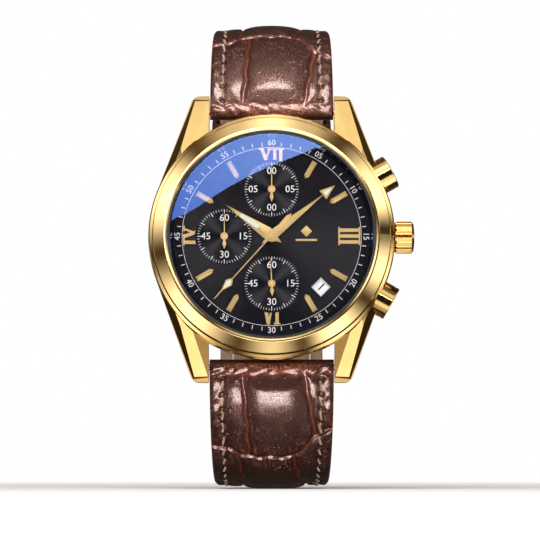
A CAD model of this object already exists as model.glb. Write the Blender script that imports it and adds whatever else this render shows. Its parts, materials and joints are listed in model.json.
"""Looks of the chronograph wristwatch: leather strap, dial printing, finishes, light and camera.

The row's frame, in metres: +X towards the crown, +Z towards 12 o'clock, the dial faces -Y, and h = -y.
Most sizes below are in millimetres and are multiplied by MM where a mesh is made.
"""

import bpy
import json
import math
import random
from mathutils import Matrix, Vector


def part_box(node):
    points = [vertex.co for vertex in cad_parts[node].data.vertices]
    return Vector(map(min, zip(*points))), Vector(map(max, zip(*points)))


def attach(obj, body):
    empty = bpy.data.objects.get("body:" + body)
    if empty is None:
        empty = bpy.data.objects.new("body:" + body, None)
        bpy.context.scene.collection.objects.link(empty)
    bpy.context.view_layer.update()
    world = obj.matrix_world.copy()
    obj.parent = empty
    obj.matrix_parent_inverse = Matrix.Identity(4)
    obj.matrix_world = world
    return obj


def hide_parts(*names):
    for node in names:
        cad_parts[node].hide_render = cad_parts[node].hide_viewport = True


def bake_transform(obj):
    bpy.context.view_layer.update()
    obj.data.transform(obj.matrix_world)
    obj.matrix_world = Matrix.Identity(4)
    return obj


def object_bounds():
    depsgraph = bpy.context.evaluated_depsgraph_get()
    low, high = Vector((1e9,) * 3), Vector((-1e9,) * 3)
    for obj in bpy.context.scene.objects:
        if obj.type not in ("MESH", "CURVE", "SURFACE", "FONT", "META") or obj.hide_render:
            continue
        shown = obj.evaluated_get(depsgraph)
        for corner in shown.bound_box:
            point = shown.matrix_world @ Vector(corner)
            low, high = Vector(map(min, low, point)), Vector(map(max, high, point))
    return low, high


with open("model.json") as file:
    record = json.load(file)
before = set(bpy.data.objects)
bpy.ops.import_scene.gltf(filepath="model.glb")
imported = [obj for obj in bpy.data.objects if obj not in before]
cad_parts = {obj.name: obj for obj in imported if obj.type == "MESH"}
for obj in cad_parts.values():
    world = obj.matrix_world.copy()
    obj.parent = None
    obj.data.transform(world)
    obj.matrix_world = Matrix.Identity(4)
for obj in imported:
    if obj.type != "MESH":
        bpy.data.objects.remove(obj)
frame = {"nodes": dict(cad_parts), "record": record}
CAD_BOX = [list(corner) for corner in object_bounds()]

MM = 0.001
SEED = 405

# Dial, in mm, as in the CAD model.
DIAL_H = -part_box("dial")[0][1] / MM
COUNTER_OFFSET = 8.4
COUNTER_R = 5.05
COUNTER_DEPTH = 0.14
COUNTER_RING_PITCH = 0.3
COUNTERS = {"tenths": (0.0, COUNTER_OFFSET), "minutes": (-COUNTER_OFFSET, 0.0),
            "seconds": (0.0, -COUNTER_OFFSET)}
DATE_ANGLE = 136.0
DATE_RADIUS = 12.55
DATES = 31
TRACK_R = 15.9                  # where the minute track begins
WINDOW_REACH = 1.85             # from the date window's middle to beyond its corners
PRINT_THICK = 0.012
HOUR_TURN, MINUTE_TURN, CHRONO_TURN = 304.3, 51.4, 222.1    # clock angles of the hands, in degrees

# Strap, in mm, as in the CAD model.
BAR_Z, BAR_H = 23.0, 1.6
LEAVE = math.radians(12)        # how far the strap leans back where it leaves the bar
UPPER_LEAD_R, LOWER_LEAD_R = 22.1, 25.0
CORNER_TURN = math.radians(62)
BACK_R = 66.0
LAYER_GAP = 2.5                 # between the two layers' middles where they overlap
BUCKLE_AT = 76.0                # distance of the buckle along the upper piece
TAIL_OVERLAP = 34.0
WIDTH_NEAR, WIDTH_FAR = 22.2, 20.3
TAPER_END = 62.0                # distance along the strap where it stops narrowing
STITCH_X = 8.9                  # the stitched lines, from the strap's middle
STITCH_PITCH = 2.75
ROLL = 1.4                      # how far the strap's end reaches past its spring bar
HOLE_PITCH = 6.5


# -------- node graphs
class Graph:
    """Builds shader nodes with short calls; a value is a socket or a plain number."""

    def __init__(self, tree):
        self.tree = tree
        tree.nodes.clear()

    def node(self, kind, **settings):
        made = self.tree.nodes.new(kind)
        for key, value in settings.items():
            setattr(made, key, value)
        return made

    def link(self, source, socket):
        if isinstance(source, bpy.types.NodeSocket):
            self.tree.links.new(source, socket)
        else:
            socket.default_value = source

    def math(self, operation, *values):
        made = self.node("ShaderNodeMath", operation=operation)
        for i, value in enumerate(values):
            self.link(value, made.inputs[i])
        return made.outputs[0]

    def mix(self, factor, a, b):
        made = self.node("ShaderNodeMix", data_type="RGBA")
        self.link(factor, made.inputs[0])
        for socket, value in ((made.inputs[6], a), (made.inputs[7], b)):
            self.link(value if isinstance(value, bpy.types.NodeSocket) else (*value[:3], 1.0), socket)
        return made.outputs[2]

    def ramp(self, factor, stops):
        """A smooth ramp through (place, colour) stops, the first at 0 and the last at 1."""
        made = self.node("ShaderNodeValToRGB")
        made.color_ramp.interpolation = "EASE"
        elements = made.color_ramp.elements
        for place, _colour in stops[1:-1]:
            elements.new(place)
        for element, (_place, colour) in zip(elements, stops):
            element.color = (*colour, 1.0)
        self.link(factor, made.inputs[0])
        return made.outputs[0]

    def position(self):
        """Position on the object in mm, which doesn't move when its body does."""
        coordinate = self.node("ShaderNodeTexCoord").outputs["Object"]
        scaled = self.node("ShaderNodeVectorMath", operation="SCALE")
        self.link(coordinate, scaled.inputs[0])
        scaled.inputs["Scale"].default_value = 1 / MM
        return scaled.outputs[0]

    def split(self, vector):
        made = self.node("ShaderNodeSeparateXYZ")
        self.link(vector, made.inputs[0])
        return made.outputs

    def noise(self, vector, scale, detail=4.0, roughness=0.55):
        made = self.node("ShaderNodeTexNoise")
        self.link(vector, made.inputs["Vector"])
        made.inputs["Scale"].default_value = scale
        made.inputs["Detail"].default_value = detail
        made.inputs["Roughness"].default_value = roughness
        return made.outputs[0]

    def voronoi(self, vector, scale, feature="F1"):
        made = self.node("ShaderNodeTexVoronoi", feature=feature)
        self.link(vector, made.inputs["Vector"])
        made.inputs["Scale"].default_value = scale
        return made.outputs[0]

    def stretch(self, vector, factors):
        made = self.node("ShaderNodeVectorMath", operation="MULTIPLY")
        self.link(vector, made.inputs[0])
        made.inputs[1].default_value = factors
        return made.outputs[0]

    def hypotenuse(self, a, b):
        return self.math("SQRT", self.math("MULTIPLY_ADD", a, a, self.math("MULTIPLY", b, b)))

    def axis_distance(self, position, centre=(0.0, 0.0)):
        """Distance in mm from an axis along Y through centre, given as (x, z)."""
        x, _y, z = self.split(position)
        return self.hypotenuse(self.math("SUBTRACT", x, centre[0]), self.math("SUBTRACT", z, centre[1]))

    def cloud(self, position, scale, detail, low=0.3, high=0.7):
        """Noise stretched so that its values from low to high fill 0 to 1."""
        return self.remap(self.noise(position, scale, detail), low, high, 0.0, 1.0)

    def bump(self, height, strength, distance, normal=None):
        made = self.node("ShaderNodeBump")
        made.inputs["Strength"].default_value = strength
        made.inputs["Distance"].default_value = distance * MM
        self.link(height, made.inputs["Height"])
        if normal is not None:
            self.link(normal, made.inputs["Normal"])
        return made.outputs[0]

    def remap(self, value, low, high, to_low, to_high):
        made = self.node("ShaderNodeMapRange")
        self.link(value, made.inputs[0])
        for i, number in enumerate((low, high, to_low, to_high)):
            made.inputs[i + 1].default_value = number
        return made.outputs[0]


def material(name, colour, metallic=0.0, roughness=0.4, normal=None, **sockets):
    """A Principled material; colour, roughness and normal may each be a function of the graph and position."""
    made = bpy.data.materials.new(name)
    made.use_nodes = True
    graph = Graph(made.node_tree)
    shader = graph.node("ShaderNodeBsdfPrincipled")
    out = graph.node("ShaderNodeOutputMaterial")
    graph.link(shader.outputs[0], out.inputs[0])
    position = graph.position()
    if callable(colour):
        graph.link(colour(graph, position), shader.inputs["Base Color"])
    else:
        shader.inputs["Base Color"].default_value = (*colour, 1.0)
    shader.inputs["Metallic"].default_value = metallic
    if callable(roughness):
        graph.link(roughness(graph, position), shader.inputs["Roughness"])
    else:
        shader.inputs["Roughness"].default_value = roughness
    if normal:
        graph.link(normal(graph, position), shader.inputs["Normal"])
    for key, value in sockets.items():
        shader.inputs[key.replace("_", " ")].default_value = value
    return made


# -------- finishes
GOLD = (0.95, 0.66, 0.26)
GOLD_PALE = (0.98, 0.72, 0.33)
GOLD_APPLIED = (1.0, 0.72, 0.30)
RUBBED_LEATHER = (0.26, 0.065, 0.028)
STITCH_HOLE = (0.002, 0.001, 0.0005)


def worn_roughness(low, high, scale=0.6):
    """Roughness that drifts slowly and carries fine hairline marks."""
    def make(graph, position):
        cloud = graph.noise(position, scale, 3.0)
        hair = graph.noise(graph.stretch(position, (9.0, 1.2, 0.8)), 2.4, 6.0, 0.7)
        both = graph.math("MULTIPLY_ADD", hair, 0.4, graph.math("MULTIPLY", cloud, 0.6))
        return graph.remap(both, 0.3, 0.7, low, high)
    return make


def hairline_bump(strength, distance):
    """Fine polishing lines over faint dents."""
    def make(graph, position):
        lines = graph.noise(graph.stretch(position, (10.0, 1.0, 1.0)), 3.0, 5.0, 0.65)
        dents = graph.noise(position, 0.8, 2.0)
        return graph.bump(dents, strength, distance * 2, graph.bump(lines, strength, distance))
    return make


def gold_colour(tint, shade=0.9):
    """A metal's colour, drifting slowly down to shade times its brightness."""
    def make(graph, position):
        darker = tuple(c * shade for c in tint)
        return graph.mix(graph.cloud(position, 0.35, 3.0, 0.35, 0.65), darker, tint)
    return make


def turned_rings(strength, pitch, distance):
    """Fine turned lines about the dial's axis."""
    def make(graph, position):
        wave = graph.math("SINE", graph.math("MULTIPLY", graph.axis_distance(position), 2 * math.pi / pitch))
        return graph.bump(wave, strength, distance)
    return make


def dial_colour(graph, position):
    """Black lacquer over sunburst brushing, with the minute track and the counters a shade apart."""
    x, y, z = graph.split(position)
    angle = graph.math("ARCTAN2", x, z)
    comb = graph.node("ShaderNodeCombineXYZ")
    graph.link(graph.math("MULTIPLY", angle, 14.0), comb.inputs[0])
    rays = graph.noise(comb.outputs[0], 3.0, 5.0, 0.7)
    broad = graph.math("COSINE", graph.math("MULTIPLY", angle, 2.0))
    glow = graph.math("MULTIPLY_ADD", broad, -0.5, 0.5)
    low = graph.remap(z, 14.0, -10.0, 0.15, 1.0)
    amount = graph.math("MULTIPLY", graph.math("MULTIPLY", glow, low), graph.remap(rays, 0.3, 0.7, 0.75, 1.0))
    face = graph.mix(amount, (0.0015, 0.0015, 0.002), (0.020, 0.020, 0.022))
    track = graph.math("GREATER_THAN", graph.axis_distance(position), TRACK_R)
    face = graph.mix(track, face, (0.003, 0.003, 0.0035))
    for centre in COUNTERS.values():
        inside = graph.math("LESS_THAN", graph.axis_distance(position, centre), COUNTER_R + 0.02)
        cx, cz = graph.math("SUBTRACT", x, centre[0]), graph.math("SUBTRACT", z, centre[1])
        sheen = graph.math("COSINE", graph.math("MULTIPLY", graph.math("ARCTAN2", cx, cz), 4.0))
        sheen = graph.math("POWER", graph.math("MULTIPLY_ADD", sheen, -0.5, 0.5), 2.0)
        counter = graph.mix(sheen, (0.002, 0.002, 0.0025), (0.022, 0.022, 0.024))
        face = graph.mix(inside, face, counter)
    window = graph.axis_distance(position, clock(DATE_ANGLE, DATE_RADIUS))
    below = graph.math("GREATER_THAN", y, -DIAL_H + PRINT_THICK)
    window_walls = graph.math("MULTIPLY", graph.math("LESS_THAN", window, WINDOW_REACH), below)
    return graph.mix(window_walls, face, (0.55, 0.55, 0.55))


def dial_bump(graph, position):
    """Turned rings in the counters."""
    normal = None
    for centre in COUNTERS.values():
        distance = graph.axis_distance(position, centre)
        inside = graph.math("LESS_THAN", distance, COUNTER_R - 0.15)
        wave = graph.math("SINE", graph.math("MULTIPLY", distance, 2 * math.pi / COUNTER_RING_PITCH))
        normal = graph.bump(graph.math("MULTIPLY", wave, inside), 0.5, 0.02, normal)
    return normal


def leather(name, dark, crease, grain, gloss, embossed):
    """Dark cells, redder creases and rubbed edges where it is embossed, fine grain and wrinkles."""
    def shade(share):
        return tuple(c * share for c in dark)

    def marks(graph, label):
        return graph.node("ShaderNodeAttribute", attribute_name=label).outputs["Fac"]

    def colour(graph, position):
        base = graph.mix(graph.cloud(position, 0.22, 4.0), shade(0.7), shade(1.35))
        speckle = graph.remap(graph.noise(position, 4.0, 3.0), 0.55, 0.75, 0.0, 0.35)
        base = graph.mix(speckle, base, shade(2.2))
        if embossed:
            grain_break = graph.remap(graph.noise(position, 1.6, 5.0, 0.7), 0.3, 0.62, 0.35, 1.0)
            base = graph.mix(graph.math("MULTIPLY", marks(graph, "groove"), grain_break), base, crease)
            rubbed = graph.remap(graph.noise(position, 2.2, 6.0, 0.75), 0.48, 0.6, 0.0, 1.0)
            base = graph.mix(graph.math("MULTIPLY", marks(graph, "rub"), rubbed), base, RUBBED_LEATHER)
            depth = graph.math("MINIMUM", graph.math("MULTIPLY", marks(graph, "hole"), 1.6), 1.0)
            base = graph.mix(depth, base, STITCH_HOLE)
        return base

    def roughness(graph, position):
        cloud = graph.noise(position, 0.9, 5.0, 0.65)
        return graph.remap(cloud, 0.3, 0.7, gloss - 0.05, gloss + 0.08)

    def normal(graph, position):
        pores = graph.voronoi(position, 2.3, "DISTANCE_TO_EDGE")
        cells = graph.remap(pores, 0.0, 0.12, 0.0, 1.0)
        wrinkles = graph.noise(graph.stretch(position, (1.0, 0.6, 1.8)), 1.5, 8.0, 0.7)
        fine = graph.bump(cells, 0.65 * grain, 0.07)
        return graph.bump(wrinkles, 0.5 * grain, 0.09, fine)

    return material(name, colour, 0.0, roughness, normal, Specular_IOR_Level=0.38,
                    Specular_Tint=(1.0, 0.62, 0.52, 1.0), Coat_Weight=0.15, Coat_Roughness=0.16,
                    Coat_Tint=(1.0, 0.86, 0.82, 1.0))


def thread_normal(graph, position):
    twist = graph.node("ShaderNodeTexWave", wave_type="BANDS", bands_direction="DIAGONAL")
    graph.link(position, twist.inputs["Vector"])
    twist.inputs["Scale"].default_value = 3.2
    return graph.bump(twist.outputs[0], 0.7, 0.08)


def thread_colour(graph, position):
    return graph.mix(graph.cloud(position, 1.4, 4.0, 0.35, 0.65), (0.08, 0.035, 0.016), (0.36, 0.18, 0.08))


def lining_colour(graph, position):
    return graph.mix(graph.cloud(position, 0.3, 5.0), (0.17, 0.105, 0.07), (0.27, 0.17, 0.115))


def lining_normal(graph, position):
    pores = graph.voronoi(position, 2.6)
    return graph.bump(graph.remap(pores, 0.0, 0.5, 0.0, 1.0), 0.3, 0.06)


def flange_colour(graph, position):
    return graph.mix(graph.noise(position, 1.0), (0.004, 0.004, 0.005), (0.010, 0.010, 0.012))


def brushed(name, colour, roughness):
    return material(name, gold_colour(colour, 0.82), 1.0, worn_roughness(roughness - 0.08, roughness + 0.1),
                    hairline_bump(0.25, 0.02))


def grained(name, colour, roughness, scale=3.0):
    """A cloudy, slightly rough surface such as plastic, rubber or print."""
    def tint(graph, position):
        return graph.mix(graph.cloud(position, scale, 4.0), tuple(c * 0.75 for c in colour), colour)

    def skin(graph, position):
        return graph.bump(graph.noise(position, scale * 3, 4.0), 0.3, 0.03)
    return material(name, tint, 0.0, worn_roughness(roughness - 0.08, roughness + 0.08), skin)


def make_finishes():
    def gold(name, roughness, bump):
        return material(name, gold_colour(GOLD), 1.0, roughness, bump)

    case = gold("case_gold", worn_roughness(0.06, 0.11), hairline_bump(0.05, 0.005))
    bezel = material("bezel_gold", gold_colour(GOLD_PALE, 0.95), 1.0, worn_roughness(0.08, 0.13),
                     turned_rings(0.10, 0.22, 0.003))
    applied = material("applied_gold", gold_colour(GOLD_APPLIED), 0.6, worn_roughness(0.14, 0.2, 2.0))
    buckle = gold("buckle_gold", worn_roughness(0.12, 0.26, 1.1), hairline_bump(0.2, 0.012))
    back = gold("back_gold", worn_roughness(0.2, 0.3), turned_rings(0.35, 0.35, 0.006))
    flange = material("flange_gloss", flange_colour, 0.0, worn_roughness(0.06, 0.12), Coat_Weight=0.6)
    strap = leather("croc_leather", (0.0105, 0.0023, 0.0015), (0.085, 0.017, 0.0075), 1.0, 0.36, True)
    lining = material("lining_calf", lining_colour, 0.0, worn_roughness(0.5, 0.62), lining_normal)
    keeper = leather("keeper_leather", (0.026, 0.007, 0.0045), (0.1, 0.025, 0.01), 0.8, 0.34, False)
    dial = material("dial_lacquer", dial_colour, 0.0, worn_roughness(0.32, 0.36, 0.8), dial_bump,
                    Specular_IOR_Level=0.16)
    return {
        "gold_steel": case, "bezel": bezel, "case_back": back, "applied_gold": applied, "buckle_gold": buckle,
        "dial_black": dial,
        "sapphire": material("sapphire_coated", (0.11, 0.28, 0.95), 1.0, 0.015, None, Alpha=0.16),
        "flange_black": flange,
        "date_white": grained("date_print_base", (0.82, 0.82, 0.80), 0.45),
        "seal_rubber": grained("seal_rubber", (0.02, 0.02, 0.02), 0.7),
        "steel": brushed("turned_steel", (0.62, 0.61, 0.60), 0.25),
        "train_brass": brushed("train_brass", (0.80, 0.62, 0.32), 0.32),
        "movement_nickel": brushed("movement_nickel", (0.62, 0.60, 0.55), 0.36),
        "board_green": grained("circuit_laminate", (0.04, 0.17, 0.08), 0.45),
        "coil_copper": brushed("coil_copper", (0.70, 0.30, 0.14), 0.35),
        "cell_steel": brushed("cell_steel", (0.68, 0.68, 0.68), 0.3),
        "holder_white": grained("holder_plastic", (0.74, 0.73, 0.68), 0.5),
        "brown_leather": strap,
        "keeper_leather": keeper,
        "lining_leather": lining,
        "print_white": grained("dial_print", (0.72, 0.72, 0.73), 0.5, 5.0),
        "print_black": grained("date_print", (0.006, 0.006, 0.006), 0.6, 5.0),
        "lume": grained("lume_paste", (0.55, 0.64, 0.55), 0.55, 6.0),
        "thread": material("thread_linen", thread_colour, 0.0, 0.75, thread_normal, Sheen_Weight=0.3),
        "pale_thread": grained("lining_thread", (0.60, 0.57, 0.50), 0.7, 3.0),
    }


# -------- meshes
def clock(angle_deg, radius):
    """(x, z) of a place given by its clock angle, clockwise from 12, in mm."""
    a = math.radians(angle_deg)
    return radius * math.sin(a), radius * math.cos(a)


def make_mesh(name, points, faces, finish, smooth=True, marks=None):
    """An object from points in mm; marks are named numbers, one for each point."""
    mesh = bpy.data.meshes.new(name)
    mesh.from_pydata([tuple(c * MM for c in p) for p in points], [], faces)
    mesh.validate()
    for label, values in (marks or {}).items():
        layer = mesh.attributes.new(label, "FLOAT", "POINT")
        layer.data.foreach_set("value", values)
    mesh.polygons.foreach_set("use_smooth", [smooth] * len(mesh.polygons))
    mesh.materials.append(finish)
    made = bpy.data.objects.new(name, mesh)
    bpy.context.scene.collection.objects.link(made)
    return made


def loft_faces(rings, sides, closed=False):
    """Faces between rings of points that follow each other, with end caps unless the loft closes on itself."""
    last = (rings - 1) * sides
    faces = [] if closed else [tuple(range(sides - 1, -1, -1)), tuple(range(last, last + sides))]
    for i in range(rings if closed else rings - 1):
        j = (i + 1) % rings
        for k in range(sides):
            m = (k + 1) % sides
            faces.append((i * sides + k, i * sides + m, j * sides + m, j * sides + k))
    return faces


def soften(piece, angle_deg):
    """Smooth shading that keeps the edges sharper than the angle."""
    for polygon in piece.data.polygons:
        polygon.use_smooth = True
    bpy.context.view_layer.objects.active = piece
    piece.select_set(True)
    bpy.ops.object.shade_smooth_by_angle(angle=math.radians(angle_deg))
    piece.select_set(False)


class Builder:
    """Collects several small closed shapes into one mesh."""

    def __init__(self):
        self.points = []
        self.faces = []

    def add(self, points, faces):
        first = len(self.points)
        self.points += points
        self.faces += [tuple(first + i for i in face) for face in faces]

    def slab(self, outline, h0, h1):
        """A flat outline of (x, z) points, given clockwise as the viewer sees it, between two heights."""
        n = len(outline)
        points = [(x, -h0, z) for x, z in outline] + [(x, -h1, z) for x, z in outline]
        faces = [tuple(range(n)), tuple(range(2 * n - 1, n - 1, -1))]
        faces += [(i, i + n, (i + 1) % n + n, (i + 1) % n) for i in range(n)]
        self.add(points, faces)

    def bar(self, angle_deg, r0, r1, width, h0, h1, centre=(0.0, 0.0)):
        """A radial tick from r0 to r1."""
        a = math.radians(angle_deg)
        along, across = (math.sin(a), math.cos(a)), (math.cos(a), -math.sin(a))
        outline = [(centre[0] + r * along[0] + w * across[0], centre[1] + r * along[1] + w * across[1])
                   for r, w in ((r0, -width / 2), (r1, -width / 2), (r1, width / 2), (r0, width / 2))]
        self.slab(outline, h0, h1)

    def hoop(self, inner, outer, h0, h1):
        """A flat ring round the dial's axis."""
        sides = 160
        points = []
        for i in range(sides):
            a = 2 * math.pi * i / sides
            for r, h in ((inner, h0), (outer, h0), (outer, h1), (inner, h1)):
                points.append((r * math.sin(a), -h, r * math.cos(a)))
        self.add(points, [face[::-1] for face in loft_faces(sides, 4, closed=True)])

    def tube(self, line, radius):
        """A closed tube along a line of points, narrowed at both ends."""
        sides = 6
        points = []
        for i, here in enumerate(line):
            before, after = line[max(i - 1, 0)], line[min(i + 1, len(line) - 1)]
            forward = (after - before).normalized()
            side = forward.cross(Vector((0, -1, 0.3))).normalized()
            up = side.cross(forward)
            reach = radius * (0.45 if i in (0, len(line) - 1) else 1.0)
            for k in range(sides):
                a = 2 * math.pi * k / sides
                points.append(tuple(here + side * reach * math.cos(a) + up * reach * math.sin(a)))
        self.add(points, loft_faces(len(line), sides))

    def lettering(self, text, size, x, z, h, turn_deg=0.0, weight=0.0):
        """Raised numerals centred at (x, z), turned clockwise and emboldened by weight."""
        curve = bpy.data.curves.new("numeral", "FONT")
        curve.body = text
        curve.size = size
        curve.align_x = "CENTER"
        curve.align_y = "CENTER"
        curve.extrude = 0.008
        curve.offset = weight
        curve.resolution_u = 3
        letter = bpy.data.objects.new("numeral", curve)
        bpy.context.scene.collection.objects.link(letter)
        mesh = bpy.data.meshes.new_from_object(letter.evaluated_get(bpy.context.evaluated_depsgraph_get()))
        place = Matrix.Translation((x, -h, z)) @ Matrix.Rotation(math.radians(turn_deg), 4, "Y")
        place = place @ Matrix.Rotation(math.radians(90), 4, "X")
        points = [tuple(place @ v.co) for v in mesh.vertices]
        self.add(points, [tuple(polygon.vertices) for polygon in mesh.polygons])
        bpy.data.objects.remove(letter)
        bpy.data.curves.remove(curve)
        bpy.data.meshes.remove(mesh)

    def object(self, name, finish, smooth=False):
        return make_mesh(name, self.points, self.faces, finish, smooth)


def ride(piece, body, slot, *replaced):
    """Ties a piece to its body and slot, and to the CAD nodes that it stands for."""
    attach(piece, body)
    if replaced:
        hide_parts(*replaced)


# -------- dial printing and lume
def minute_scale(finishes):
    """Sixty ticks, the hairline inside them and the minute numbers, which stand upright in the lower half."""
    print_h = DIAL_H + PRINT_THICK
    build = Builder()
    build.hoop(15.86, 15.93, DIAL_H, print_h)
    for minute in range(60):
        if minute % 5:
            build.bar(minute * 6, 16.15, 16.85, 0.13, DIAL_H, print_h)
    for minute in range(0, 60, 5):
        x, z = clock(minute * 6, 16.72)
        lower = 15 < minute < 45
        build.lettering(f"{minute or 60:02d}", 1.45, x, z, print_h, minute * 6 + (180 if lower else 0))
    ride(build.object("minute_scale", finishes["print_white"]), "head", "dial_black")


def counter_scales(finishes):
    """A sixty-tick ring and four numbers in each counter."""
    floor_h = DIAL_H - COUNTER_DEPTH
    print_h = floor_h + PRINT_THICK
    numbers = {"tenths": ("00", "05", "00", "05"), "minutes": ("60", "15", "30", "45"),
               "seconds": ("60", "15", "30", "45")}
    for name, centre in COUNTERS.items():
        build = Builder()
        for minute in range(60):
            length, width = (0.42, 0.075) if minute % 5 else (0.78, 0.12)
            build.bar(minute * 6, 4.82 - length, 4.82, width, floor_h, print_h, centre)
        for quarter, text in enumerate(numbers[name]):
            x, z = clock(quarter * 90, 3.28)
            build.lettering(text, 1.75, centre[0] + x, centre[1] + z, print_h)
        ride(build.object(f"counter_scale_{name}", finishes["print_white"]), "head", "dial_black")


def date_numbers(finishes):
    """Dates 1 to 31, set across the ring so that each reads at the slant of the window."""
    face_h = -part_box("date_ring")[0][1] / MM
    build = Builder()
    for day in range(1, DATES + 1):
        angle = DATE_ANGLE + (day - 1) * 360 / DATES
        x, z = clock(angle, DATE_RADIUS)
        build.lettering(str(day), 2.2 if day < 10 else 1.6, x, z, face_h + PRINT_THICK, angle - 91, 0.03)
    ride(build.object("date_numbers", finishes["print_black"]), "date_ring", "date_white")


def lume_inserts(finishes):
    """Pale luminous paste in the hands' slots."""
    def insert(name, body, outline, angle, h0, h1):
        a = math.radians(angle)
        turned = [(x * math.cos(a) + z * math.sin(a), -x * math.sin(a) + z * math.cos(a)) for x, z in outline]
        build = Builder()
        build.slab(turned, h0, h1)
        ride(build.object(name, finishes["lume"]), body, "dial_black")

    slot = [(0, 6.88), (0.29, 6.4), (0.41, 3.0), (0, 2.72), (-0.41, 3.0), (-0.29, 6.4)]
    insert("lume_hour_hand", "hours", slot, HOUR_TURN, 7.27, 7.47)
    tip = [(0, 13.58), (0.54, 11.97), (-0.54, 11.97)]
    insert("lume_minute_hand", "minutes", tip, MINUTE_TURN, 7.77, 7.95)
    pip = [(0, 12.78), (0.44, 11.35), (0.14, 10.82), (-0.14, 10.82), (-0.44, 11.35)]
    insert("lume_chrono_hand", "chrono_seconds", pip, CHRONO_TURN, 8.22, 8.40)


# -------- strap
def arc_step(radius, start, end):
    """The step in (z, y) along an arc between two headings."""
    return radius * (math.sin(end) - math.sin(start)), radius * (math.cos(start) - math.cos(end))


def solve_corners():
    """Radii of the two corner arcs that join the leads to the back arc, from the closing of the loop."""
    quarter, turn = math.pi / 2, CORNER_TURN
    step = arc_step(UPPER_LEAD_R, LEAVE, quarter)
    upper_apex = (BAR_Z + step[0] + LAYER_GAP, -BAR_H + step[1])
    step = arc_step(LOWER_LEAD_R, LEAVE, quarter)
    lower_apex = (-(BAR_Z + step[0]), -BAR_H + step[1])
    v1 = arc_step(1.0, quarter, quarter + turn)
    v2 = arc_step(1.0, quarter + turn, 3 * quarter - turn)
    v3 = arc_step(1.0, 3 * quarter - turn, 3 * quarter)
    gz = lower_apex[0] - upper_apex[0] - (BACK_R + LAYER_GAP) * v2[0]
    gy = lower_apex[1] - upper_apex[1] - (BACK_R + LAYER_GAP) * v2[1]
    det = v1[0] * v3[1] - v3[0] * v1[1]
    return (gz * v3[1] - v3[0] * gy) / det - LAYER_GAP, (v1[0] * gy - gz * v1[1]) / det


class Path:
    """The strap's centreline in the plane of (z, y), as tangent arcs; mirrored for the lower piece."""

    def __init__(self, arcs, mirrored):
        self.side = -1 if mirrored else 1
        self.arcs = []
        place, heading, length = (BAR_Z, -BAR_H), LEAVE, 0.0
        for radius, turn in arcs:
            self.arcs.append((length, place, heading, radius))
            step = arc_step(radius, heading, heading + turn)
            place = (place[0] + step[0], place[1] + step[1])
            heading += turn
            length += radius * turn

    def point(self, x, s, out):
        """(x, y, z) at the distance s and the place x across, moved outward from the loop by out."""
        length, start, heading, radius = [arc for arc in self.arcs if s >= arc[0] or arc[0] == 0][-1]
        now = heading + (s - length) / radius
        step = arc_step(radius, heading, now)
        z, y = start[0] + step[0] + out * math.sin(now), start[1] + step[1] - out * math.cos(now)
        return x, y, z * self.side


CORNER_UPPER, CORNER_LOWER = solve_corners()
HALF_TURN_LEFT = math.pi - 2 * CORNER_TURN
LEAD_TURN = math.pi / 2 - LEAVE
UPPER = Path([(UPPER_LEAD_R, LEAD_TURN), (CORNER_UPPER, CORNER_TURN), (BACK_R, HALF_TURN_LEFT)], False)
LOWER = Path([(LOWER_LEAD_R, LEAD_TURN), (CORNER_LOWER, CORNER_TURN), (BACK_R + LAYER_GAP, HALF_TURN_LEFT),
              (CORNER_UPPER + LAYER_GAP, CORNER_TURN)], True)
BUCKLE_TURN = (BUCKLE_AT - UPPER.arcs[2][0]) / BACK_R
LOWER_BUCKLE_AT = LOWER.arcs[2][0] + (HALF_TURN_LEFT - BUCKLE_TURN) * (BACK_R + LAYER_GAP)
TAIL_END = LOWER_BUCKLE_AT + TAIL_OVERLAP


def smooth_step(t):
    """Eases from 0 to 1 as t goes from 0 to 1."""
    t = min(max(t, 0.0), 1.0)
    return t * t * (3 - 2 * t)


def along(values, s):
    """A smooth curve through (distance, value) pairs."""
    for (s0, v0), (s1, v1) in zip(values, values[1:]):
        if s <= s1:
            return v0 + (v1 - v0) * smooth_step((s - s0) / (s1 - s0))
    return values[-1][1]


def crease_rows(length, seed):
    """Rows of crocodile cells: each row's far edge, and the two creases that cross it."""
    chance = random.Random(seed)
    rows = [
        {"start": 0.9, "lean": (0.0, 0.0), "left": (-5.4, -4.1), "right": (5.3, 7.8), "ease": 0.55},
        {"start": 17.6, "lean": (-1.9, -5.7), "left": (-6.0, -4.8), "right": (3.9, 6.4), "ease": 1.1},
    ]
    start = 31.5
    while start < length:
        lean = (chance.uniform(-3.2, 0.4), chance.uniform(-3.2, 0.4))
        left, right = chance.uniform(-6.2, -4.4), chance.uniform(4.4, 6.6)
        rows.append({"start": start, "lean": lean, "left": (left, left + chance.uniform(-0.9, 1.2)),
                     "right": (right, right + chance.uniform(-1.2, 0.9)), "ease": chance.uniform(0.7, 1.3)})
        start += chance.uniform(9.0, 12.5)
    return rows


def row_edge(row, x):
    """Where a row starts at x: level in the middle, leaning back towards each side."""
    lean = row["lean"][0] if x < 0 else row["lean"][1]
    reach = smooth_step((abs(x) - 3.2) / 6.8)
    return row["start"] + lean * reach + 0.25 * math.sin(x * 1.7 + row["start"])


def crease_distance(rows, s, x):
    """Distance in mm to the nearest crease, either a row's edge or a crease across the row that s is in."""
    edges = [row_edge(row, x) for row in rows]
    nearest = min(abs(s - edge) for edge in edges)
    passed = [i for i, edge in enumerate(edges) if s >= edge]
    if not passed:
        return nearest
    here = passed[-1]
    row = rows[here]
    end = edges[here + 1] if here + 1 < len(rows) else row["start"] + 12.0
    t = min(max((s - edges[here]) / max(end - edges[here], 0.5), 0.0), 1.0)
    for low, high in (row["left"], row["right"]):
        bend = low + (high - low) * t ** row["ease"]
        nearest = min(nearest, abs(x - bend - 0.12 * math.sin(s * 1.3 + low)))
    return nearest


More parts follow.
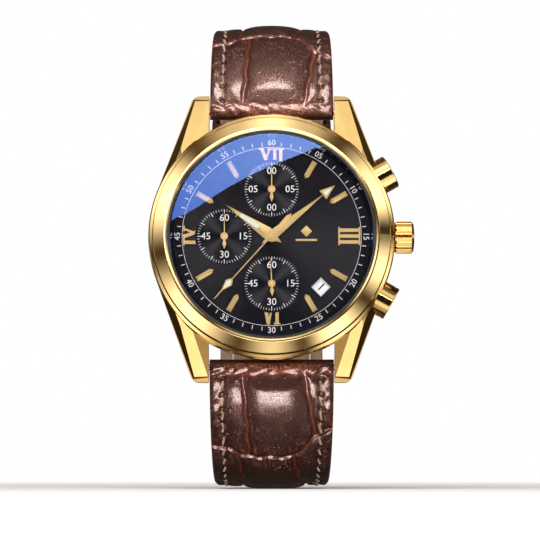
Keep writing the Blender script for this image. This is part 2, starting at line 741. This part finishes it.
def scratch_marks(rows, seed):
    """Short rubbed strokes beside the far edge of each row."""
    chance = random.Random(seed)
    strokes = []
    for row in rows[1:]:
        for _ in range(12):
            x = chance.uniform(-7.0, 7.5)
            strokes.append((x, row_edge(row, x) - chance.uniform(0.8, 2.2), chance.uniform(0.5, 1.3),
                            chance.uniform(0.10, 0.22), chance.uniform(-0.35, 0.35)))
    return strokes


def stroke_strength(strokes, s, x):
    """How strongly the nearest scratch shows, from 0 to 1."""
    best = 0.0
    for sx, ss, length, width, slant in strokes:
        if abs(s - ss) < 2.5 * length:
            dx = x - sx - slant * (s - ss)
            best = max(best, math.exp(-(dx / width) ** 2 - ((s - ss) / length) ** 2))
    return best


EDGE_DROP = [(0, 0.35), (4, 1.0), (22, 0.95), (60, 0.12), (200, 0.1)]    # from the padded middle to the edges
LEATHER_WRAP = [(-2, -0.8), (0.5, -0.75), (4.0, -0.35), (30, -0.25), (60, 0.0)]     # seam, in half thicknesses
GROOVE_DEPTH, GROOVE_WIDTH = 0.34, 0.30
PILLOW_RISE, PILLOW_REACH, PILLOW_DROP = 0.55, 1.5, 0.38
HOLE_DEPTH, HOLE_R = 0.30, 0.38


class Band:
    """One layered piece of the strap, described by the distance s along it and the place x across it."""

    def __init__(self, path, end, thick, tip, holes, seed):
        self.path, self.end, self.thick, self.tip = path, end, thick, tip
        self.holes = holes
        self.rows = crease_rows(end, seed)
        self.strokes = scratch_marks(self.rows, seed + 1)
        self.stitches = self.stitch_places()

    def stitch_places(self):
        places = []
        s = 3.2
        while s < self.end - (self.tip or 5.0):
            for side in (-1, 1):
                places.append((s, side * (STITCH_X - 0.012 * s if s < 50 else STITCH_X - 0.6)))
            s += STITCH_PITCH
        return places

    def half_width(self, s):
        """Half the width, rounded off at a tail's tip."""
        half = along([(0, WIDTH_NEAR / 2), (TAPER_END, WIDTH_FAR / 2)], s)
        if self.tip and s > self.end - self.tip:
            half *= math.sqrt(max(1 - ((s - self.end + self.tip) / self.tip) ** 2.3, 0.0)) ** 0.9
        return half

    def half_thick(self, s):
        return along(self.thick, s) / 2

    def margin(self, s, x):
        """Distance from the nearer side edge."""
        return self.half_width(s) - abs(x)

    def roll(self, s):
        """The share of the thickness left in the rolled end round the spring bar."""
        return math.sqrt(max(1 - (s / ROLL) ** 2, 0.0)) if s < 0 else 1.0

    def outer(self, s, x):
        """Offset of the outer face: a padded middle, flat stitched edges and a rolled end."""
        across = min(abs(x) / (STITCH_X - 0.2), 1.0)
        offset = self.half_thick(s) - along(EDGE_DROP, s) * across ** 2.4
        offset -= 0.45 * math.exp(-max(self.margin(s, x), 0.0) / 0.28)
        return offset * self.roll(s)

    def relief(self, s, x):
        """Emboss, wrinkles at the fold and stitch dimples: (height, groove, rub, hole)."""
        near = crease_distance(self.rows, s, x)
        groove = math.exp(-(near / GROOVE_WIDTH) ** 2)
        pillow = PILLOW_RISE * (1 - math.exp(-near / PILLOW_REACH)) - PILLOW_DROP
        ease = smooth_step((s - 0.3) / 3.5)
        height = pillow * ease - GROOVE_DEPTH * groove * (0.3 + 0.7 * ease)
        fold = math.exp(-((s - 0.1) / 1.1) ** 2)
        height += 0.07 * fold * math.sin(x * 2.3 + 1.4 * math.sin(x * 0.9) + 3.5 * s)
        margin = self.margin(s, x)
        end_rub = 0.8 * math.exp(-((s + 0.2) / 0.7) ** 2) * math.exp(-(x / 7.5) ** 4)
        side_rub = 0.5 * math.exp(-(margin / 0.35) ** 2)
        rub = max(end_rub, side_rub, stroke_strength(self.strokes, s, x))
        hole = 0.0
        if abs(abs(x) - STITCH_X) < 1.6:
            for ss, sx in self.stitches:
                if abs(s - ss) < STITCH_PITCH:
                    for end in (-0.5, 0.5):
                        gap = math.hypot(s - ss - end * STITCH_PITCH, x - sx)
                        hole = max(hole, math.exp(-(gap / HOLE_R) ** 2))
                    height -= 0.025 * math.exp(-((x - sx) / 0.45) ** 2)
        height -= HOLE_DEPTH * hole
        pucker = math.exp(-((abs(x) - STITCH_X - 1.1) / 0.7) ** 2)
        height += 0.06 * pucker * math.sin(2 * math.pi * s / STITCH_PITCH + x)
        fade = smooth_step(margin / 0.5) * smooth_step((s + ROLL) / 0.5)
        return height * fade, groove, rub, hole

    def middle(self, s, _x):
        """The seam between leather and lining; at the lugs the leather wraps round under the bar."""
        return along(LEATHER_WRAP, s) * self.half_thick(s) * self.roll(s)

    def inner(self, s, x):
        """Offset of the lining's inner face, thinned at the sides."""
        return self.half_thick(s) * self.roll(s) * (0.25 * math.exp(-max(self.margin(s, x), 0.0) / 0.3) - 1)

    def grid(self, step_s, step_x):
        """Points [x, s] in rows along the strap, finer round the rolled end and even across it."""
        start, straight = -ROLL + 0.01, 0.6
        stations = [start + (straight - start) * (1 - math.cos(math.pi / 2 * i / 9)) for i in range(9)]
        s = straight
        while s < self.end - 0.02:
            stations.append(s)
            s += step_s if not self.tip or s < self.end - self.tip else step_s * 0.7
        stations.append(self.end - 0.02)
        columns = int(WIDTH_NEAR / step_x)
        fractions = [2 * j / columns - 1 for j in range(columns + 1)]
        return [[[f * self.half_width(s), s] for f in fractions] for s in stations]

    def punch(self, flat, hole):
        """Draws the grid's points onto a hole's rim, and gives the cells inside it."""
        middle, half_s, half_x = hole

        def ratio(x, s):
            return math.hypot((s - middle) / half_s, x / half_x)

        cut = set()
        for i in range(len(flat) - 1):
            if abs(flat[i][0][1] - middle) > half_s + 1:
                continue
            for j in range(len(flat[0]) - 1):
                corners = (flat[i][j], flat[i][j + 1], flat[i + 1][j], flat[i + 1][j + 1])
                if ratio(sum(c[0] for c in corners) / 4, sum(c[1] for c in corners) / 4) < 1:
                    cut.add((i, j))
        for i, j in {(i + a, j + b) for i, j in cut for a in (0, 1) for b in (0, 1)}:
            if not all(cell in cut for cell in ((i - 1, j - 1), (i - 1, j), (i, j - 1), (i, j))):
                x, s = flat[i][j]
                q = ratio(x, s)
                flat[i][j] = [x / q, middle + (s - middle) / q]
        return cut

    def slab(self, name, finish, top, bottom, step_s, step_x, embossed):
        """A closed layer between two faces, with punched holes; an embossed one has relief on top."""
        flat = self.grid(step_s, step_x)
        rows, columns = len(flat), len(flat[0])
        cut = set()
        for hole in self.holes:
            cut |= self.punch(flat, hole)
        points, marks = [], {"groove": [], "rub": [], "hole": []}
        for face, raised in ((top, embossed), (bottom, False)):
            for line in flat:
                for x, s in line:
                    height, *amounts = self.relief(s, x) if raised else (0.0, 0.0, 0.0, 0.0)
                    points.append(self.path.point(x, s, face(s, x) + height))
                    for label, amount in zip(marks, amounts):
                        marks[label].append(amount)

        def at(layer, i, j):
            return (layer * rows + i) * columns + j

        faces = []
        kept = [(i, j) for i in range(rows - 1) for j in range(columns - 1) if (i, j) not in cut]
        solid = set(kept)
        for i, j in kept:
            faces.append((at(0, i, j), at(0, i, j + 1), at(0, i + 1, j + 1), at(0, i + 1, j)))
            faces.append((at(1, i, j), at(1, i + 1, j), at(1, i + 1, j + 1), at(1, i, j + 1)))
            for near, a, b in (((i - 1, j), (i, j), (i, j + 1)), ((i + 1, j), (i + 1, j + 1), (i + 1, j)),
                               ((i, j - 1), (i + 1, j), (i, j)), ((i, j + 1), (i, j + 1), (i + 1, j + 1))):
                if near not in solid:
                    faces.append((at(0, *b), at(0, *a), at(1, *a), at(1, *b)))
        if self.path.side < 0:
            faces = [face[::-1] for face in faces]
        return make_mesh(name, points, faces, finish, True, marks if embossed else None)

    def thread(self, name, finish, radius, inside_x=None):
        """Separate stitches that dive into their holes; inside_x puts them on the lining, that far out."""
        build = Builder()
        chance = random.Random(SEED + 7)
        for ss, sx in self.stitches:
            slant = math.copysign(chance.uniform(0.14, 0.34), sx)
            line = []
            for t in (-1.0, -0.82, -0.5, 0.0, 0.5, 0.82, 1.0):
                s = ss + t * STITCH_PITCH * 0.36
                lift = radius * (0.9 - 2.1 * abs(t) ** 5)
                if inside_x:
                    x = math.copysign(inside_x, sx) + 0.2 * slant * t
                    out = self.inner(s, x) - lift - 0.02
                else:
                    x = sx + slant * t
                    out = self.outer(s, x) + lift - 0.14
                line.append(Vector(self.path.point(x, s, out)))
            build.tube(line, radius)
        return build.object(name, finish, True)


UPPER_THICK = [(0, 3.0), (4.0, 4.3), (22, 4.1), (56, 2.3), (72, 2.3), (BUCKLE_AT - 1, 2.5), (80, 2.4)]
LOWER_THICK = [(0, 3.0), (4.0, 4.3), (24, 4.1), (66, 2.3), (150, 2.2)]
TIP_LENGTH = 11.0               # of the tail's rounded tip
# Holes as (middle along the strap, half length, half width).
TONGUE_SLOT = (BUCKLE_AT + 1.6, 3.7, 1.15)
TONGUE_HOLE = (LOWER_BUCKLE_AT - 1.55, 2.35, 1.05)
TAIL_HOLES = [(TONGUE_HOLE[0] + HOLE_PITCH * k, 1.35, 0.95) for k in (-2, -1, 1, 2, 3, 4)] + [TONGUE_HOLE]


def make_strap(finishes):
    """Leather, lining and stitches of both pieces. Gives the two leather pieces."""
    bands = {
        "upper": (Band(UPPER, BUCKLE_AT + 1.3, UPPER_THICK, 0.0, [TONGUE_SLOT], SEED + 20),
                  ("strap_linings", "strap_padding")),
        "lower": (Band(LOWER, TAIL_END, LOWER_THICK, TIP_LENGTH, TAIL_HOLES, SEED + 40), ()),
    }
    fine = 0.25
    leathers = []
    brown, calf = finishes["brown_leather"], finishes["lining_leather"]
    for name, (band, lining_nodes) in bands.items():
        top = band.slab(f"strap_{name}", brown, band.outer, band.middle, fine, fine, True)
        lining = band.slab(f"strap_{name}_lining", calf, band.middle, band.inner, 0.8, 0.6, False)
        outside = band.thread(f"stitching_{name}", finishes["thread"], 0.21)
        inside = band.thread(f"stitching_{name}_inside", finishes["pale_thread"], 0.17, 7.6)
        ride(top, "head", "brown_leather", f"strap_{name}_leather")
        ride(lining, "head", "lining_leather", *lining_nodes)
        ride(outside, "head", "brown_leather")
        ride(inside, "head", "lining_leather")
        leathers.append(top)
    return leathers


KEEPER_SKIN = 1.06              # the keeper's thickness
KEEPER_CORNER = 1.5
KEEPER_PLY = 0.55               # from its inner face to its middle
LAYER_HALF = 1.15, 1.1          # half thickness of the strap's upper and lower piece under the keepers


def make_keeper(name, body, node, s_mid, length, clearance, finishes):
    """A leather loop round both layers: a rounded band swept round a rounded rectangle."""
    half = WIDTH_FAR / 2 + 0.55 + KEEPER_PLY
    low, high = -LAYER_HALF[0] - clearance - KEEPER_PLY, LAYER_GAP + LAYER_HALF[1] + clearance + KEEPER_PLY
    middle, reach = (low + high) / 2, (high - low) / 2
    steps, sides = 96, 20
    section = []
    for k in range(sides):
        a = 2 * math.pi * k / sides
        c, s = math.cos(a), math.sin(a)
        section.append((length / 2 * math.copysign(abs(c) ** 0.35, c),
                        KEEPER_SKIN / 2 * math.copysign(abs(s) ** 0.6, s)))
    points = []
    for i in range(steps):
        a = 2 * math.pi * i / steps
        c, s = math.cos(a), math.sin(a)
        scale = 1 / max(abs(c) / half, abs(s) / reach)
        x, w = c * scale, s * scale
        dx, dw = max(abs(x) - half + KEEPER_CORNER, 0.0), max(abs(w) - reach + KEEPER_CORNER, 0.0)
        if dx > 0 and dw > 0:
            fit = KEEPER_CORNER / math.hypot(dx, dw)
            x = math.copysign(half - KEEPER_CORNER + dx * fit, x)
            w = math.copysign(reach - KEEPER_CORNER + dw * fit, w)
            nx, nw = math.copysign(dx, x), math.copysign(dw, w)
        else:
            nx, nw = (math.copysign(1, x), 0.0) if dx > 0 else (0.0, math.copysign(1, w))
        size = math.hypot(nx, nw)
        for v, t in section:
            points.append(UPPER.point(x + t * nx / size, s_mid + v, middle + w + t * nw / size))
    loop = make_mesh(name, points, loft_faces(steps, sides, closed=True), finishes["keeper_leather"])
    ride(loop, body, "brown_leather", node)


# -------- pusher springs
PUSHER_ANGLE = 29.2             # of each pusher's axis from the crown's, in degrees
CONTROL_H = 4.35                # height of both axes
SPRING_START, SPRING_END = 19.88, 22.52
SPRING_RADIUS, SPRING_WIRE, SPRING_TURNS = 1.65, 0.16, 5


def make_pusher_springs(finishes):
    """A coil behind each button: its inner end stays in the case and its outer end goes with the button."""
    steps, sides = 24 * SPRING_TURNS, 8
    for name, side in (("start", 1), ("reset", -1)):
        angle = math.radians(side * PUSHER_ANGLE)
        ray = Vector((math.cos(angle), 0, math.sin(angle)))
        level = Vector((-math.sin(angle), 0, math.cos(angle)))
        axis = Vector((0, -CONTROL_H, 0))
        start, end = axis + ray * SPRING_START, axis + ray * SPRING_END
        points = []
        for i in range(steps + 1):
            turn = 2 * math.pi * SPRING_TURNS * i / steps
            out = level * math.cos(turn) + Vector((0, 1, 0)) * math.sin(turn)
            centre = start.lerp(end, i / steps) + out * SPRING_RADIUS
            for k in range(sides):
                a = 2 * math.pi * k / sides
                points.append(centre + (out * math.cos(a) + ray * math.sin(a)) * SPRING_WIRE)
        faces = loft_faces(steps + 1, sides)
        spring = make_mesh(f"{name}_pusher_spring", points, faces, finishes["steel"])
        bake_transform(spring)
        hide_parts("pusher_springs")


# -------- CAD nodes
OWN_FINISH = {"bezel": "bezel", "case_back": "case_back", "strap_padding": "seal_rubber"}
FACETED = ("mid_case", "bezel", "crown")


def finish_cad_nodes(finishes):
    """Gives every CAD node its own or its slot's finish, and smooth shading between its edges."""
    slots = {part["node"]: part["material_slot"] for part in frame["record"]["subparts"]}
    for name, node in frame["nodes"].items():
        node.data.materials.clear()
        node.data.materials.append(finishes[OWN_FINISH.get(name, slots[name])])
        soften(node, 28 if name in FACETED else 35)


# -------- light, floor and camera
# Light by direction, as (clock angle in degrees, brightness), on three rings ever further off the front.
RING_LIGHT = [(-180, 1.0), (-161, 0.10), (-128, 2.0), (-93, 0.06), (-64, 2.2), (-37, 0.10), (-16, 0.8),
              (0, 1.7), (16, 0.8), (33, 0.09), (64, 2.2), (81, 0.01), (102, 1.9), (119, 0.05), (143, 2.2),
              (162, 0.10), (180, 1.0)]
INNER_LIGHT = [(-180, 1.5), (-165, 2.6), (-158, 1.8), (-148, 0.9), (-141, 1.3), (-130, 0.45), (-100, 0.05),
               (-60, 1.2), (-49, 0.45), (-41, 1.2), (-30, 0.9), (-22, 1.9), (-15, 2.6), (0, 1.5), (15, 2.6),
               (22, 1.9), (30, 0.9), (41, 1.2), (49, 0.45), (70, 1.2), (100, 0.05), (130, 0.45), (141, 1.3),
               (148, 0.9), (158, 1.8), (165, 2.6), (180, 1.5)]
OUTER_LIGHT = [(-180, 0.16), (-150, 0.03), (-99, 0.02), (-90, 0.9), (-81, 0.02), (-30, 0.05), (0, 0.16),
               (30, 0.03), (76, 0.03), (85, 1.0), (94, 0.02), (150, 0.03), (180, 0.16)]
FRONT_GLOW, BACK_GLOW = (0.012, 0.012, 0.012), (0.10, 0.09, 0.08)

# The card's lower edge, as up = level + slope * across - bend * across squared, in tangents of the angle.
CARD_LEVEL, CARD_SLOPE, CARD_BEND = 0.219, 0.44, 1.05
CARD_REACH = 0.36               # how far the card goes from straight ahead, in radians
CARD_LEFT, CARD_RIGHT = (3.4, 3.4, 3.6), (13.0, 8.0, 5.2)


def make_world():
    """Soft lights and gaps round the watch, a dim front with a card at upper left, and a white backdrop."""
    world = bpy.data.worlds.new("studio")
    bpy.context.scene.world = world
    world.use_nodes = True
    graph = Graph(world.node_tree)
    direction = graph.node("ShaderNodeTexCoord").outputs["Generated"]
    x, y, z = graph.split(direction)
    front = graph.math("MULTIPLY", y, -1.0)
    place = graph.math("MULTIPLY_ADD", graph.math("ARCTAN2", x, z), 1 / (2 * math.pi), 0.5)

    def warm(value):
        return value, min(0.95 * value ** 1.15, 0.97 * value), min(0.88 * value ** 1.35, 0.93 * value)

    def lights(table):
        return graph.ramp(place, [((angle + 180) / 360, warm(value)) for angle, value in table])

    away = graph.math("ARCCOSINE", front)
    degrees = graph.math("MULTIPLY", away, 180 / math.pi)
    glow = FRONT_GLOW
    for light, start, end in ((lights(INNER_LIGHT), 22.0, 34.0), (lights(RING_LIGHT), 50.0, 60.0),
                              (lights(OUTER_LIGHT), 78.0, 88.0), (BACK_GLOW, 118.0, 150.0)):
        glow = graph.mix(graph.remap(degrees, start, end, 0.0, 1.0), glow, light)
    ahead = graph.math("GREATER_THAN", front, 0.0)
    across, up = graph.math("DIVIDE", x, front), graph.math("DIVIDE", z, front)
    bend = graph.math("MULTIPLY", graph.math("MULTIPLY", across, across), CARD_BEND)
    edge = graph.math("SUBTRACT", graph.math("MULTIPLY_ADD", across, CARD_SLOPE, CARD_LEVEL), bend)
    above = graph.math("SUBTRACT", up, edge)
    inside = graph.math("MULTIPLY", graph.math("MULTIPLY", graph.math("GREATER_THAN", above, 0.0),
                                               graph.math("LESS_THAN", away, CARD_REACH)), ahead)
    fade = graph.remap(graph.math("ADD", across, above), -0.16, 0.16, 0.0, 1.0)
    card = graph.mix(fade, CARD_LEFT, CARD_RIGHT)
    glow = graph.mix(inside, glow, card)
    lit = graph.node("ShaderNodeBackground")
    graph.link(glow, lit.inputs[0])
    lit.inputs[1].default_value = 1.0
    backdrop = graph.node("ShaderNodeBackground")
    backdrop.inputs[0].default_value = (1.0, 1.0, 1.0, 1.0)
    backdrop.inputs[1].default_value = 1.0
    chosen = graph.node("ShaderNodeMixShader")
    graph.link(graph.node("ShaderNodeLightPath").outputs["Is Camera Ray"], chosen.inputs[0])
    graph.link(lit.outputs[0], chosen.inputs[1])
    graph.link(backdrop.outputs[0], chosen.inputs[2])
    out = graph.node("ShaderNodeOutputWorld")
    graph.link(chosen.outputs[0], out.inputs[0])


def add_light(name, place, aim, size, power, colour=(1.0, 1.0, 1.0), shines_on=None):
    """A soft box. It lights every surface's body colour, or only the gloss of the pieces in shines_on."""
    light = bpy.data.lights.new(name, "AREA")
    light.shape = "RECTANGLE"
    light.size, light.size_y = size
    light.energy = power
    light.color = colour
    made = bpy.data.objects.new(name, light)
    made.location = place
    made.rotation_mode = "QUATERNION"
    made.rotation_quaternion = (Vector(aim) - Vector(place)).to_track_quat("-Z", "Y")
    made.visible_camera = False
    made.visible_glossy = shines_on is not None
    made.visible_diffuse = shines_on is None
    if shines_on:
        receivers = bpy.data.collections.new(name)
        for piece in shines_on:
            receivers.objects.link(piece)
        made.light_linking.receiver_collection = receivers
    bpy.context.scene.collection.objects.link(made)


def floor_finish():
    """Pale paint near the watch that fades into the backdrop."""
    made = bpy.data.materials.new("floor_pale")
    made.use_nodes = True
    graph = Graph(made.node_tree)
    x, y, _z = graph.split(graph.position())
    paint = graph.node("ShaderNodeBsdfPrincipled")
    paint.inputs["Base Color"].default_value = (0.86, 0.86, 0.86, 1.0)
    paint.inputs["Roughness"].default_value = 0.6
    glow = graph.node("ShaderNodeEmission")
    mixed = graph.node("ShaderNodeMixShader")
    graph.link(graph.remap(graph.hypotenuse(x, y), 60.0, 400.0, 0.0, 1.0), mixed.inputs[0])
    graph.link(paint.outputs[0], mixed.inputs[1])
    graph.link(glow.outputs[0], mixed.inputs[2])
    graph.link(mixed.outputs[0], graph.node("ShaderNodeOutputMaterial").inputs[0])
    return made


def make_stage():
    """World, soft boxes and a floor at the watch's lowest point."""
    make_world()
    add_light("key_top", (-0.12, -0.34, 0.36), (0, 0, 0), (0.30, 0.22), 1.3)
    add_light("fill_front", (0.03, -0.42, 0.03), (0, 0, 0), (0.35, 0.2), 3.6)
    low = CAD_BOX[0][2]
    reach = 6.0
    floor_mesh = bpy.data.meshes.new("floor")
    corners = [(-reach, -reach, low), (reach, -reach, low), (reach, reach, low), (-reach, reach, low)]
    floor_mesh.from_pydata(corners, [], [(0, 1, 2, 3)])
    floor = bpy.data.objects.new("floor", floor_mesh)
    bpy.context.scene.collection.objects.link(floor)
    floor_mesh.materials.append(floor_finish())
    floor.visible_glossy = False


def make_strap_lights(leather_pieces):
    """A soft box above and one below that are seen only in the leather, half a metre off."""
    for name, side, degrees, power in (("strap_light_upper", 1, 46.0, 11.5),
                                       ("strap_light_lower", -1, 40.0, 13.0)):
        tilt = math.radians(degrees)
        near = Vector((0.0, -0.008, side * 0.030))
        place = near + Vector((-0.01, -math.cos(tilt), side * math.sin(tilt))) * 0.5
        add_light(name, place, near, (0.24, 0.19), power, (1.0, 0.88, 0.84), leather_pieces)


def make_camera():
    """About 0.4 m away, near the level of the watch's lowest edge and looking slightly up."""
    camera = bpy.data.cameras.new("camera")
    distance, width = 0.400, 0.0945
    aim = Vector((-0.0003, -0.010, -0.0063))
    place = Vector((-0.0003, -0.010 - distance, -0.042))
    camera.sensor_width = 36.0
    camera.lens = 36.0 * distance / width
    camera.clip_start, camera.clip_end = 0.01, 50.0
    made = bpy.data.objects.new("camera", camera)
    made.location = place
    made.rotation_mode = "QUATERNION"
    made.rotation_quaternion = (aim - place).to_track_quat("-Z", "Y")
    bpy.context.scene.collection.objects.link(made)
    bpy.context.scene.camera = made


def main():
    bpy.context.scene.view_settings.view_transform = "Standard"
    finishes = make_finishes()
    make_camera()
    make_stage()
    finish_cad_nodes(finishes)
    minute_scale(finishes)
    counter_scales(finishes)
    date_numbers(finishes)
    lume_inserts(finishes)
    make_strap_lights(make_strap(finishes))
    make_pusher_springs(finishes)
    make_keeper("keeper_fixed", "head", "fixed_keeper", BUCKLE_AT - 7.5, 5.5, 0.12, finishes)
    make_keeper("keeper_free", "free_keeper", "free_keeper", BUCKLE_AT - 19.5, 5.0, 0.4, finishes)


main()
